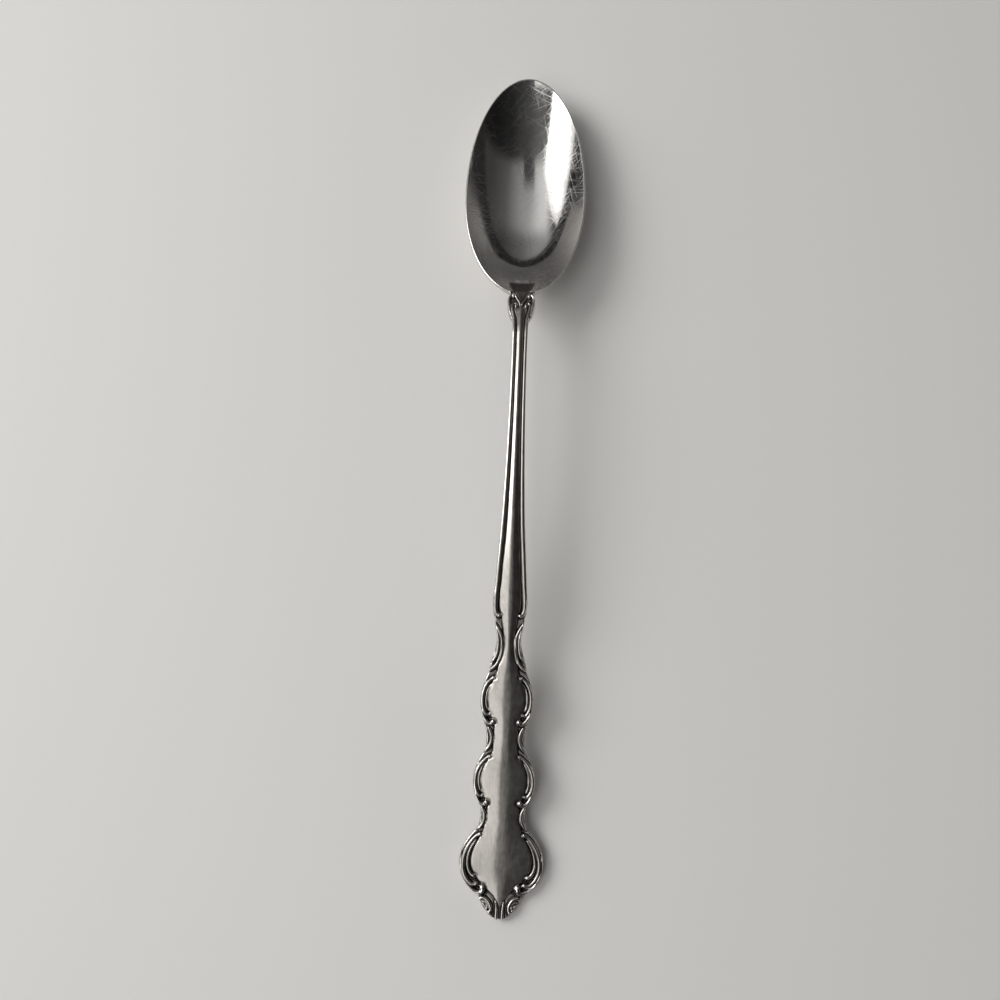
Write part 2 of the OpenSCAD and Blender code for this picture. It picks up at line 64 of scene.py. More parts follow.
# Half widths of the outline and of the panel from the shoulder to the bowl
stem_outline = [(61, 3.17), (62.5, 3.52), (64.9, 3.7), (67, 3.52), (75.1, 2.99), (80.9, 2.6),
                (90.2, 2.18), (100.1, 1.89), (110.5, 1.72), (119.2, 1.68), (125, 1.75),
                (126.3, 1.88), (127.8, 2.6), (129.4, 2.96), (131.5, 3.1), (133.2, 2.55), (134, 3.0)]
stem_panel = [(61, 1.46), (64, 2.1), (67, 2.15), (75, 1.65), (84.4, 1.22), (101.8, 0.85),
              (125, 0.7), (128.5, 0.6), (130.4, 0.32), (131.2, 0.36), (132, 0.7), (132.9, 1.05),
              (134, 1.7)]
# Half width of the smooth dome that the panel is cut from, wider than the panel beside each notch
dome_line = [(0, 0.9), (4.7, 2.4), (11.3, 6.3), (20.2, 3.9), (28.1, 4.95), (36.3, 2.85), (44.6, 4.05),
             (55.8, 1.15), (64.5, 2.2), (67, 2.15), (75, 1.65), (84.4, 1.22), (101.8, 0.85), (125, 0.7)]


def along(line, s):
    """Smooth values at the stations s through (station, value) points, level at its ends and turns."""
    at, value = np.array(line, float).T
    rise = np.diff(value) / np.diff(at)
    slope = np.zeros(len(at))
    same = rise[:-1] * rise[1:] > 0
    slope[1:-1][same] = 2 * (rise[:-1] * rise[1:])[same] / (rise[:-1] + rise[1:])[same]
    i = np.clip(np.searchsorted(at, s) - 1, 0, len(at) - 2)
    gap = at[i + 1] - at[i]
    t = np.clip((s - at[i]) / gap, 0, 1)
    return (value[i] * (1 + 2 * t) * (1 - t) ** 2 + slope[i] * gap * t * (1 - t) ** 2
            + value[i + 1] * (3 - 2 * t) * t ** 2 - slope[i + 1] * gap * (1 - t) * t ** 2)


def at_station(s):
    """Y in metres of a station, which is a place in mm from the handle's end."""
    return (s - LENGTH / 2) * MM


def border_z(s):
    """Height of the border, the ground that the scrolls stand on."""
    return along(back_line, s) + along(edge_line, s)


def ease(t):
    """0 to 1 in a smooth step."""
    t = np.clip(t, 0, 1)
    return t * t * (3 - 2 * t)


def roof(u):
    """Height of the panel, 1 at its middle and 0 at its edge: a band worn nearly flat, then a slope
    down. flat is the band's share of the width, and a larger sharp bends more sharply beside it."""
    flat, sharp, dome_share = 0.22, 14.0, 0.07
    slopes = ((1 - u) / (1 - flat), 1 / (1 - flat), 0.0)
    here, top, low = (-np.log(np.exp(-sharp * slope) + math.exp(-sharp)) / sharp for slope in slopes)
    return (here - low) / (top - low) * (1 - dome_share) + dome_share * (1 - u * u)


def skin(s, w, p, counts):
    """Points of a plain stretch of the spoon and 1 where the die strikes it: at each station a loop
    across the top, round the edge and over the back. w and p are the half widths of the outline and
    the panel; counts are the columns on panel, groove, border, edge, lower edge and back."""
    border, back, thick = border_z(s), along(back_line, s), along(edge_line, s)
    middle, step, sunk = along(middle_line, s), along(step_line, s), along(sunk_line, s)
    dome = np.where(s < NECK_AT, along(dome_line, s), p)
    groove = np.minimum(GROOVE_W, (w - p) * 0.3)
    corner = np.minimum(CORNER_R, (w - p - groove) * 0.3)
    n_panel, n_groove, n_border, n_edge, n_lower, n_back = counts
    columns = []
    for u in np.linspace(0, 1, n_panel, endpoint=False):
        columns.append((p * u, border + step + (middle - step) * roof(u * p / dome)))
    for u in np.linspace(0, 1, n_groove, endpoint=False):
        top = step + (middle - step) * roof(p / dome)
        columns.append((p + groove * u, border + top - (top + sunk) * ease(u)))
    for u in np.linspace(0, 1, n_border, endpoint=False):
        inner, outer = p + groove, w - corner
        columns.append((inner + (outer - inner) * u, border - sunk))
    # The upper edge is a small round corner. The lower one is broad, and leaves 0.8 of the back flat
    for a in np.linspace(0, math.pi / 2, n_edge, endpoint=False):
        down = 0.3 * thick * (1 - math.cos(a))
        columns.append((w - corner * (1 - math.sin(a)), border - sunk - down))
    for a in np.linspace(0, math.pi / 2, n_lower, endpoint=False):
        columns.append((w - 0.2 * w * (1 - math.cos(a)), back + 0.42 * thick * (1 - math.sin(a))))
    for u in np.linspace(0.8, 0, n_back):
        columns.append((w * u, back))
    x = np.array([c[0] for c in columns]).T
    z = np.array([c[1] for c in columns]).T
    x = np.hstack([x, -x[:, -2:0:-1]])
    z = np.hstack([z, z[:, -2:0:-1]])
    y = np.repeat((s - LENGTH / 2)[:, None], x.shape[1], axis=1)
    top_n = n_panel + n_groove + n_border + n_edge
    struck = np.zeros(x.shape, np.float32)
    struck[:, :top_n] = 1
    struck[:, x.shape[1] - top_n + 1:] = 1
    return np.stack([x, y, z], axis=2) * MM, struck


def grid_mesh(name, points):
    """Closed mesh through rows of points, with a sharp edge round each of its two flat ends."""
    rows, n = points.shape[:2]
    grid = np.arange(rows * n).reshape(rows, n)
    a, b = grid[:-1], grid[1:]
    quads = np.stack([a, np.roll(a, -1, 1), np.roll(b, -1, 1), b], axis=2).reshape(-1, 4)
    mesh = bpy.data.meshes.new(name)
    faces = quads.tolist() + [grid[0, ::-1].tolist(), grid[-1].tolist()]
    mesh.from_pydata(points.reshape(-1, 3).tolist(), [], faces)
    ends = np.array([e.vertices[:] for e in mesh.edges]) // n
    cap = (ends[:, 0] == ends[:, 1]) & ((ends[:, 0] == 0) | (ends[:, 0] == rows - 1))
    mesh.attributes.new("sharp_edge", "BOOLEAN", "EDGE").data.foreach_set("value", cap)
    mesh.polygons.foreach_set("use_smooth", [True] * len(mesh.polygons))
    return mesh


def scroll_lines(name, lines):
    """A curve object that holds one Catmull-Rom line for each list of (x, station, half width)."""
    data = bpy.data.curves.new(name, "CURVE")
    data.dimensions = "3D"
    for line in lines:
        spline = data.splines.new("POLY")
        spline.points.add(len(line) - 1)
        for point, (x, s, half) in zip(spline.points, line):
            point.co = (x * MM, at_station(s), border_z(s) * MM, 1)
            point.radius = half
    curve = bpy.data.objects.new(name, data)
    bpy.context.scene.collection.objects.link(curve)
    return curve


def add(tree, kind, settings=None, inputs=None):
    """Adds a node, sets its properties, and fills its inputs. An input given a socket is linked to it,
    and one given a node is linked to that node's first output."""
    node = tree.nodes.new(kind)
    for key, value in (settings or {}).items():
        setattr(node, key, value)
    for key, value in (inputs or {}).items():
        if isinstance(value, bpy.types.Node):
            value = value.outputs[0]
        if isinstance(value, bpy.types.NodeSocket):
            tree.links.new(value, node.inputs[key])
        else:
            node.inputs[key].default_value = value
    return node


# Settings that several nodes share
TIMES = {"operation": "MULTIPLY"}
PLUS = {"operation": "ADD"}
MINUS = {"operation": "SUBTRACT"}
TIMES_PLUS = {"operation": "MULTIPLY_ADD"}
SMOOTH = {"interpolation_type": "SMOOTHSTEP"}
COLOUR = {"data_type": "RGBA"}


def strike_relief():
    """Geometry Nodes that strike the scrolls into a skin, as the die does. Each line becomes a
    half-round ridge that ends in a bead, with a fine sunk line round it, and is then softened."""
    tree = bpy.data.node_groups.new("Strike relief", "GeometryNodeTree")
    face = tree.interface
    face.new_socket("Skin", in_out="INPUT", socket_type="NodeSocketGeometry")
    face.new_socket("Scroll lines", in_out="INPUT", socket_type="NodeSocketObject")
    for label, value in (("Half width unit", MM), ("Sunk line width", 0.2 * MM),
                         ("Sunk line depth", 0.13 * MM), ("Relief", 0.5 * MM)):
        face.new_socket(label, in_out="INPUT", socket_type="NodeSocketFloat").default_value = value
    for label, value in (("Soften", 3), ("Recess reach", 50)):
        face.new_socket(label, in_out="INPUT", socket_type="NodeSocketInt").default_value = value
    face.new_socket("Metal", in_out="INPUT", socket_type="NodeSocketMaterial")
    face.new_socket("Skin", in_out="OUTPUT", socket_type="NodeSocketGeometry")
    given = add(tree, "NodeGroupInput").outputs

    lines = add(tree, "GeometryNodeObjectInfo", inputs={"Object": given["Scroll lines"]})
    smooth = add(tree, "GeometryNodeCurveSplineType", {"spline_type": "CATMULL_ROM"},
                 {"Curve": lines.outputs["Geometry"]})
    radius = add(tree, "GeometryNodeInputRadius")
    width = add(tree, "ShaderNodeMath", TIMES, {0: radius, 1: given["Half width unit"]})
    wide = add(tree, "ShaderNodeMath", PLUS, {0: width, 1: given["Sunk line width"]})
    ring = add(tree, "GeometryNodeCurvePrimitiveCircle", inputs={"Resolution": 20, "Radius": 1.0})
    ends = add(tree, "GeometryNodeCurveEndpointSelection")
    ball = add(tree, "GeometryNodeMeshUVSphere", inputs={"Segments": 24, "Rings": 12, "Radius": 1.0})
    place = add(tree, "GeometryNodeInputPosition")
    level = add(tree, "ShaderNodeSeparateXYZ", inputs={0: place}).outputs["Z"]
    ray_height = 10 * MM
    above = add(tree, "ShaderNodeVectorMath", PLUS, {0: place, 1: (0, 0, ray_height)})

    def ray_down(half):
        """Drops a ray from above each point on the ridges of this half width, on both sides."""
        tube = add(tree, "GeometryNodeCurveToMesh", inputs={
            "Curve": smooth, "Profile Curve": ring, "Scale": half})
        balls = add(tree, "GeometryNodeInstanceOnPoints", inputs={
            "Points": lines.outputs["Geometry"], "Selection": ends, "Instance": ball, "Scale": half})
        whole_balls = add(tree, "GeometryNodeRealizeInstances", inputs={0: balls})
        right = add(tree, "GeometryNodeJoinGeometry")
        for part in (tube, whole_balls):
            tree.links.new(part.outputs[0], right.inputs[0])
        left = add(tree, "GeometryNodeTransform", inputs={"Geometry": right, "Scale": (-1, 1, 1)})
        die = add(tree, "GeometryNodeJoinGeometry")
        for part in (right, left):
            tree.links.new(part.outputs[0], die.inputs[0])
        return add(tree, "GeometryNodeRaycast", inputs={
            "Target Geometry": die, "Source Position": above, "Ray Direction": (0, 0, -1),
            "Ray Length": 2 * ray_height}).outputs

    # Each point of the skin rises to the ridge over it, or sinks by the line's depth beside a ridge
    ridge = ray_down(width)
    top = add(tree, "ShaderNodeSeparateXYZ", inputs={0: ridge["Hit Position"]}).outputs["Z"]
    gap = add(tree, "ShaderNodeMath", MINUS, {0: top, 1: level})
    rise = add(tree, "ShaderNodeMath", {"operation": "MAXIMUM"}, {0: gap, 1: 0.0})
    hit = add(tree, "ShaderNodeMath", TIMES, {0: rise, 1: ridge["Is Hit"]})
    depth = add(tree, "ShaderNodeMath", TIMES, {0: given["Sunk line depth"], 1: -1.0})
    line = add(tree, "ShaderNodeMath", TIMES, {0: ray_down(wide)["Is Hit"], 1: depth})
    on_ridge = add(tree, "ShaderNodeMath", {"operation": "GREATER_THAN"}, {0: hit, 1: 0.02 * MM})
    off_ridge = add(tree, "ShaderNodeMath", MINUS, {0: 1.0, 1: on_ridge})
    sunk = add(tree, "ShaderNodeMath", TIMES, {0: line, 1: off_ridge})
    moved = add(tree, "ShaderNodeMath", PLUS, {0: hit, 1: sunk})
    struck = add(tree, "GeometryNodeInputNamedAttribute", inputs={"Name": "struck"})
    lift = add(tree, "ShaderNodeMath", TIMES, {0: moved, 1: struck})
    soft = add(tree, "GeometryNodeBlurAttribute", inputs={"Value": lift, "Iterations": given["Soften"]})
    offset = add(tree, "ShaderNodeCombineXYZ", inputs={"Z": soft})
    risen = add(tree, "GeometryNodeSetPosition", inputs={"Geometry": given["Skin"], "Offset": offset})

    # How deep each point lies below its surroundings, for the dark film in the recesses
    around = add(tree, "GeometryNodeBlurAttribute", inputs={
        "Value": level, "Iterations": given["Recess reach"]})
    below = add(tree, "ShaderNodeMath", MINUS, {0: around, 1: level})
    deep = add(tree, "ShaderNodeMath", {"operation": "DIVIDE"}, {0: below, 1: given["Relief"]})
    recess = add(tree, "ShaderNodeMath", TIMES, {0: deep, 1: struck})
    kept = add(tree, "GeometryNodeStoreNamedAttribute", inputs={
        "Geometry": risen, "Name": "recess", "Value": recess})
    shaded = add(tree, "GeometryNodeSetShadeSmooth", inputs={"Geometry": kept})
    real = add(tree, "GeometryNodeRealizeInstances", inputs={0: shaded})
    done = add(tree, "GeometryNodeSetMaterial", inputs={"Geometry": real, "Material": given["Metal"]})
    add(tree, "NodeGroupOutput", inputs={"Skin": done})
    return tree


relief_tree = strike_relief()


def struck_piece(name, stations, half_width, panel_half, lines, metal,
                 counts=(20, 6, 32, 6, 5, 6), soften=3):
    """A stretch of the spoon with its relief. The skin is made a little too long, so that the relief
    runs evenly up to the joints, then struck, and its spare rows are left out of the piece."""
    spare = 14
    inside = np.asarray(stations, float)
    before = inside[0] - (inside[1] - inside[0]) * np.arange(spare, 0, -1)
    after = inside[-1] + (inside[-1] - inside[-2]) * np.arange(1, spare + 1)
    s = np.concatenate([before, inside, after])
    within = np.clip(s, inside[0], inside[-1])
    points, struck = skin(s, half_width(within), panel_half(within), counts)
    blank = bpy.data.objects.new(name + "_blank", grid_mesh(name + "_blank", points))
    bpy.context.scene.collection.objects.link(blank)
    blank.data.attributes.new("struck", "FLOAT", "POINT").data.foreach_set("value", struck.ravel())
    curve = scroll_lines(name + "_lines", lines)
    press = blank.modifiers.new("strike", "NODES")
    press.node_group = relief_tree
    sockets = {i.name: i.identifier for i in relief_tree.interface.items_tree if i.in_out == "INPUT"}
    press[sockets["Scroll lines"]] = curve
    press[sockets["Soften"]] = soften
    press[sockets["Metal"]] = metal
    bpy.context.view_layer.update()
    made = bpy.data.meshes.new_from_object(blank.evaluated_get(bpy.context.evaluated_depsgraph_get()))
    places = np.empty(points.size)
    made.vertices.foreach_get("co", places)
    recess = np.empty(struck.size)
    made.attributes["recess"].data.foreach_get("value", recess)
    for spent in (blank, curve):
        bpy.data.objects.remove(spent)
    mesh = grid_mesh(name, places.reshape(points.shape)[spare:-spare])
    kept = recess.reshape(struck.shape)[spare:-spare].ravel()
    mesh.attributes.new("recess", "FLOAT", "POINT").data.foreach_set("value", kept)
    mesh.materials.append(metal)
    piece = bpy.data.objects.new(name, mesh)
    bpy.context.scene.collection.objects.link(piece)
    return piece


def linear(hex_colour):
    """A linear colour from an sRGB hex value."""
    parts = [int(hex_colour[i:i + 2], 16) / 255 for i in (0, 2, 4)]
    return tuple(c / 12.92 if c <= 0.04045 else ((c + 0.055) / 1.055) ** 2.4 for c in parts) + (1.0,)


# The drop, which the neck and the bowl share and whose dark colour is a painted reflection: half widths
# at stations from its point to its end
drop_shape = [(131, 0), (131.9, 0.7), (132.9, 1.1), (133.7, 1.65), (135, 2.35), (137, 2.95)]
# Colour of the drop's painted reflection of the dark ceiling that its flat face mirrors
DROP_PAINTED_REFLECTION = "65605a"


def drop_mask(tree, where):
    """1 on the drop, where a dark reflection is painted; it starts in a point on the neck and ends 3 mm
    inside the bowl.
    """
    at = add(tree, "ShaderNodeSeparateXYZ", inputs={0: where})
    off_axis = add(tree, "ShaderNodeMath", {"operation": "ABSOLUTE"}, {0: at.outputs["X"]})
    start, end, widest = drop_shape[0][0], drop_shape[-1][0], 3
    share = add(tree, "ShaderNodeMapRange", inputs={
        "Value": at.outputs["Y"], "From Min": at_station(start), "From Max": at_station(end)})
    half = add(tree, "ShaderNodeValToRGB", inputs={"Fac": share})
    while len(half.color_ramp.elements) < len(drop_shape):
        half.color_ramp.elements.new(0.5)
    for stop, (s, wide) in zip(half.color_ramp.elements, drop_shape):
        stop.position = (s - start) / (end - start)
        stop.color = (wide / widest, wide / widest, wide / widest, 1)
    wide = add(tree, "ShaderNodeMath", TIMES, {0: half, 1: widest * MM})
    outside = add(tree, "ShaderNodeMath", MINUS, {0: off_axis, 1: wide})
    in_width = add(tree, "ShaderNodeMapRange", SMOOTH, {
        "Value": outside, "From Min": 0.35 * MM, "From Max": -0.25 * MM})
    not_past = add(tree, "ShaderNodeMapRange", SMOOTH, {
        "Value": at.outputs["Y"], "From Min": at_station(137.4), "From Max": at_station(136.5)})
    begun = add(tree, "ShaderNodeMapRange", SMOOTH, {
        "Value": at.outputs["Y"], "From Min": at_station(130.8), "From Max": at_station(131.4)})
    both = add(tree, "ShaderNodeMath", TIMES, {0: in_width, 1: not_past})
    return add(tree, "ShaderNodeMath", TIMES, {0: both, 1: begun})


def new_metal(name):
    """A metal with default IOR: its material, node tree, shader and Object coordinates."""
    metal = bpy.data.materials.new(name)
    metal.use_nodes = True
    steel = metal.node_tree.nodes["Principled BSDF"]
    steel.inputs["Metallic"].default_value = 1.0
    return metal, metal.node_tree, steel, add(metal.node_tree, "ShaderNodeTexCoord").outputs["Object"]


def satin_stainless():
    """Worn satin stainless steel: grey and softly blurred, with fine wear scratches along the handle,
    polished crests, and dark film that years of washing leave in the recesses of the relief."""
    metal, tree, steel, where = new_metal("satin_stainless_steel")
    recess = add(tree, "ShaderNodeAttribute", {"attribute_name": "recess"}).outputs["Fac"]

    # Film: fills the grooves more in some places than in others, in patches about 3 mm long
    patches = add(tree, "ShaderNodeTexNoise", inputs={"Vector": where, "Scale": 330.0, "Detail": 3.0})
    uneven = add(tree, "ShaderNodeMapRange", inputs={
        "Value": patches, "From Min": 0.3, "From Max": 0.7, "To Min": 0.7, "To Max": 1.3})
    deep = add(tree, "ShaderNodeMath", TIMES, {0: recess, 1: uneven})
    film = add(tree, "ShaderNodeMapRange", SMOOTH, {
        "Value": deep, "From Min": 0.02, "From Max": 0.26, "To Max": 0.93})
    crest = add(tree, "ShaderNodeMapRange", SMOOTH, {
        "Value": recess, "From Min": -0.12, "From Max": -0.6})

    # Scratches from use run lengthwise, about 5 mm long. Real ones are 0.02 mm wide; 0.2 mm is what
    # shows. Between them lie dents about 1 mm across
    stretched = add(tree, "ShaderNodeMapping", inputs={"Vector": where, "Scale": (1, 0.04, 1)})
    hairs = add(tree, "ShaderNodeTexNoise", inputs={
        "Vector": stretched, "Scale": 5200.0, "Detail": 4.0, "Roughness": 0.65})
    dents = add(tree, "ShaderNodeTexNoise", inputs={"Vector": where, "Scale": 900.0, "Detail": 4.0})
    worn = add(tree, "ShaderNodeMix", {"data_type": "FLOAT"}, {0: 0.35, 2: hairs, 3: dents})

    tone = add(tree, "ShaderNodeValToRGB", inputs={"Fac": worn})
    for stop, (position, colour) in zip(tone.color_ramp.elements, ((0.3, "8e8a84"), (0.7, "b4b0aa"))):
        stop.position = position
        stop.color = linear(colour)
    bright = add(tree, "ShaderNodeMix", COLOUR, {0: crest, 6: tone, 7: linear("d2cfca")})
    stained = add(tree, "ShaderNodeMix", COLOUR, {0: film, 6: bright.outputs[2], 7: linear("2b2825")})
    # On the drop the colour turns dark: a painted reflection of the dark ceiling that its flat face
    # mirrors
    with_painted_reflection = add(tree, "ShaderNodeMix", COLOUR, {
        0: drop_mask(tree, where), 6: stained.outputs[2], 7: linear(DROP_PAINTED_REFLECTION)})
    tree.links.new(with_painted_reflection.outputs[2], steel.inputs["Base Color"])

    # Crests are smoother than the panel, and film is rougher
    panel_rough = add(tree, "ShaderNodeMapRange", inputs={
        "Value": worn, "From Min": 0.3, "From Max": 0.7, "To Min": 0.28, "To Max": 0.4})
    with_crests = add(tree, "ShaderNodeMath", TIMES_PLUS, {0: crest, 1: -0.16, 2: panel_rough})
    with_film = add(tree, "ShaderNodeMath", TIMES_PLUS, {0: film, 1: 0.1, 2: with_crests})
    tree.links.new(with_film.outputs[0], steel.inputs["Roughness"])

    # Under the scratches, polishing by hand left the panel faintly wavy, in waves about 2.4 mm wide
    # and 6 mm long
    wavy = add(tree, "ShaderNodeMapping", inputs={"Vector": where, "Scale": (1, 0.4, 1)})
    waves = add(tree, "ShaderNodeTexNoise", inputs={"Vector": wavy, "Scale": 420.0, "Detail": 2.0})
    wavy_bump = add(tree, "ShaderNodeBump", inputs={"Height": waves, "Distance": 0.06 * MM})
    bump = add(tree, "ShaderNodeBump", inputs={
        "Height": worn, "Strength": 0.12, "Distance": 0.02 * MM, "Normal": wavy_bump})
    tree.links.new(bump.outputs[0], steel.inputs["Normal"])
    return metal


satin = satin_stainless()


def stem_half(s):
    """Half width of the outline from the shoulder to the bowl."""
    return along(stem_outline, s)


def stem_panel_half(s):
    """Half width of the panel from the shoulder to the bowl."""
    return along(stem_panel, s)


# The bead that follows each edge, from its curl at the shoulder to its curl in the neck. This line
# and the scrolls below give x, station and half width in mm
edge_bead = [(2.22, 61.85, 0.52), (2.72, 62.15, 0.4), (3.02, 62.9, 0.44), (3.12, 64, 0.5)]
for station in range(66, 126, 2):
    wide = stem_half(station)
    thick_bead = min(0.56, 0.13 + 0.16 * wide)
    edge_bead.append((wide - thick_bead, station, thick_bead))
edge_bead += [(1.42, 126.4, 0.36), (1.58, 127.5, 0.34), (1.82, 128.6, 0.32), (1.98, 129.6, 0.3),
              (1.95, 130.4, 0.3), (1.6, 130.9, 0.3), (1.12, 130.7, 0.28), (1.1, 130.1, 0.34)]

shank = struck_piece("shank_steel", np.linspace(SHANK_AT, NECK_AT, 400), stem_half, stem_panel_half,
                     [edge_bead], satin)
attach(shank, "root")
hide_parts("shank")


# Neck: the short root of the bowl, struck with a scrolled ear on each side, inside which the edge
# bead ends in a volute. A bordered, pointed drop is sunk into it from the bowl.
BOWL_AT = 134.0
ear = [(2.1, 127.6, 0.2), (2.4, 128.6, 0.28), (2.6, 129.9, 0.34), (2.74, 131.2, 0.36),
       (2.72, 132.2, 0.38), (2.4, 132.95, 0.38), (1.9, 133.1, 0.36), (1.75, 132.6, 0.4)]
drop_border = [(0.2, 130.5, 0.24), (0.5, 131.3, 0.26), (0.98, 132.2, 0.28), (1.4, 133, 0.28),
               (1.7, 133.6, 0.2)]

neck = struck_piece("neck_steel", np.linspace(NECK_AT, BOWL_AT, 76), stem_half, stem_panel_half,
                    [edge_bead, ear, drop_border], satin)
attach(neck, "root")
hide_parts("neck")


# Handle: the broad end of the same piece of steel. The die gives it a domed panel and, round it,
# three lobes, two coves and a waist bordered with C-scrolls and beads.
SHELL_AT = 4.7
SHOULDER_AT = 61
PANEL_FULL = 1.2

# Each stretch: start, length, half widths at its start, end and middle, where its middle lies and how
# full it is, then the panel's half widths at its start, end and middle
stretches = [
    (4.7, 13.2, 4.4, 5.17, 8.85, 0.87, 0.77, 1.32, 3.76, 6.15),
    (17.9, 4.6, 5.17, 4.79, 4.7, 1, 0.9, 3.76, 3.1, 3.34),
    (22.5, 11.3, 4.79, 4.29, 6.52, 1, 0.89, 3.1, 2.43, 4.8),
    (33.8, 5.1, 4.29, 4.37, 4.05, 1, 0.6, 2.43, 2.27, 2.39),
    (38.9, 11.4, 4.37, 4.0, 5.55, 1, 0.98, 2.27, 2.03, 3.92),
    (50.3, 10.7, 4.0, 3.17, 2.6, 1.22, 1.6, 2.03, 1.46, 1.04),
]


def swell(start, end, middle, centre, full, u):
    """A width that runs from start to end and swells, or narrows, to middle on the way."""
    level = start + (end - start) * u
    rise = middle - (start + (end - start) * 0.5 ** (1 / centre))
    return level + rise * np.sin(np.pi * np.clip(u, 0, 1) ** centre) ** full


def handle_half(s):
    """Half width of the outline from the tip shell to the shank."""
    value = stem_half(s)
    for at, length, start, end, middle, centre, full, _, _, _ in stretches:
        u = (s - at) / length
        here = (u >= 0) & (u <= 1) & (s < SHOULDER_AT)
        value[here] = swell(start, end, middle, centre, full, u[here])
    return value


def handle_panel(s):
    """Half width of the panel from the tip shell to the shank."""
    value = stem_panel_half(s)
    for at, length, _, _, _, centre, _, start, end, middle in stretches:
        u = (s - at) / length
        here = (u >= 0) & (u <= 1) & (s < SHOULDER_AT)
        value[here] = swell(start, end, middle, centre, PANEL_FULL, u[here])
    return value


handle_scrolls = [
    # First lobe: main scroll, fine inner scroll, and the hook that ends in a volute
    [(4.54, 16.8, 0.5), (5.35, 16.4, 0.38), (6.35, 15.3, 0.42), (7.25, 13.8, 0.46), (7.8, 12.2, 0.48),
     (7.98, 10.7, 0.5), (7.8, 9.2, 0.5), (7.3, 8, 0.48), (6.6, 7.1, 0.46), (5.8, 6.6, 0.46),
     (4.96, 6.73, 0.55)],
    [(5.3, 15.7, 0.24), (6.25, 14.2, 0.32), (6.85, 12.5, 0.38), (7.02, 11, 0.4), (6.8, 9.7, 0.4),
     (6.25, 8.7, 0.4), (5.49, 8.23, 0.48)],
    [(8.42, 13.3, 0.1), (8.52, 12.2, 0.2), (8.5, 10.9, 0.28), (8.42, 9.4, 0.36), (8.1, 8.1, 0.42),
     (7.5, 6.95, 0.46), (6.7, 6.1, 0.46), (5.8, 5.55, 0.46), (4.95, 5.2, 0.46), (4.3, 5.1, 0.54),
     (3.82, 5.38, 0.68), (3.66, 5.85, 0.78), (3.72, 6.2, 0.7)],
    # First cove
    [(4.9, 18, 0.3), (4.2, 18.9, 0.42), (3.85, 20, 0.46), (3.9, 21.1, 0.44), (4.4, 22.2, 0.32)],
    # Second lobe
    [(3.08, 32.73, 0.5), (3.7, 32.4, 0.38), (4.6, 31.5, 0.42), (5.4, 30.3, 0.46), (5.9, 28.9, 0.48),
     (6.03, 27.5, 0.49), (5.9, 26.2, 0.48), (5.5, 25.2, 0.46), (4.95, 24.6, 0.42), (4.36, 24.67, 0.46)],
    [(4, 31.4, 0.22), (4.75, 30.2, 0.3), (5.16, 28.8, 0.34), (5.22, 27.4, 0.35), (5, 26.2, 0.33),
     (4.6, 25.5, 0.3)],
    [(6.25, 26.6, 0.22), (6.1, 25.4, 0.34), (5.7, 24.3, 0.42), (5.1, 23.4, 0.46), (4.35, 22.95, 0.5),
     (3.65, 23.05, 0.62), (3.48, 23.3, 0.74)],
    # Second cove
    [(4.15, 33.9, 0.28), (3.4, 34.7, 0.4), (2.95, 35.9, 0.44), (3, 37.1, 0.42), (3.6, 38.6, 0.3)],
    # Third lobe
    [(2.85, 48.92, 0.48), (3.4, 48.6, 0.36), (4.15, 47.8, 0.4), (4.75, 46.6, 0.43), (5.08, 45.2, 0.45),
     (5.13, 43.9, 0.46), (4.95, 42.7, 0.44), (4.55, 41.75, 0.42), (4.05, 41.25, 0.4),
     (3.44, 41.35, 0.44)],
    [(3.35, 47.6, 0.2), (3.95, 46.4, 0.27), (4.25, 45, 0.31), (4.28, 43.7, 0.31), (4.05, 42.7, 0.3),
     (3.75, 42.2, 0.27)],
    [(5.33, 43, 0.2), (5.18, 41.9, 0.34), (4.75, 40.9, 0.4), (4.2, 40.05, 0.44), (3.5, 39.5, 0.46),
     (2.88, 39.6, 0.58), (2.72, 39.85, 0.68)],
    # Waist
    [(3.05, 60.2, 0.26), (2.45, 59.3, 0.34), (1.85, 58.1, 0.38), (1.52, 57, 0.4), (1.42, 55.8, 0.4),
     (1.5, 54.4, 0.4), (1.78, 53.1, 0.4), (2.3, 51.9, 0.4), (3.05, 51, 0.4), (3.8, 50.5, 0.36)],
    [(2.85, 59.7, 0.24), (2.5, 58.5, 0.3), (2.25, 57, 0.33), (2.2, 55.8, 0.34), (2.32, 54.4, 0.34),
     (2.65, 53.3, 0.32), (3.3, 52.4, 0.24)],
]
turns = [row[0] for row in stretches] + [SHOULDER_AT, SHANK_AT]
row_counts = [120, 66, 104, 70, 104, 110, 60]
handle_at = [SHELL_AT]
for start, end, n in zip(turns, turns[1:], row_counts):
    handle_at += [start + (end - start) * (0.35 * u + 0.65 * (1 - math.cos(math.pi * u)) / 2)
                  for u in np.arange(1, n + 1) / n]

handle = struck_piece("handle_steel", handle_at, handle_half, handle_panel,
                      [edge_bead] + handle_scrolls, satin, (20, 5, 30, 5, 4, 5))
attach(handle, "root")
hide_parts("handle")


# Tip shell: the end of the handle, of the same piece of steel, struck as two leaves that curl away
# from a short stem.
leaf_scrolls = [
    # The stem's edge, the edge of the leaf, and two fine arcs inside it
    [(0.62, 0.05, 0.42), (0.63, 1.2, 0.36), (0.68, 2.3, 0.28), (0.85, 3.3, 0.2)],
    [(4.15, 3.85, 0.26), (3.7, 4.1, 0.34), (2.95, 3.9, 0.38), (2.3, 3.25, 0.4), (1.9, 2.4, 0.4),
     (1.85, 1.65, 0.38), (2.12, 1.25, 0.42)],
    [(3.5, 3.35, 0.24), (2.9, 3.12, 0.28), (2.54, 2.6, 0.25), (2.52, 2.05, 0.3)],
    [(3.42, 2.78, 0.16), (3.06, 2.5, 0.22), (2.84, 2, 0.22), (2.6, 1.5, 0.26)],
]


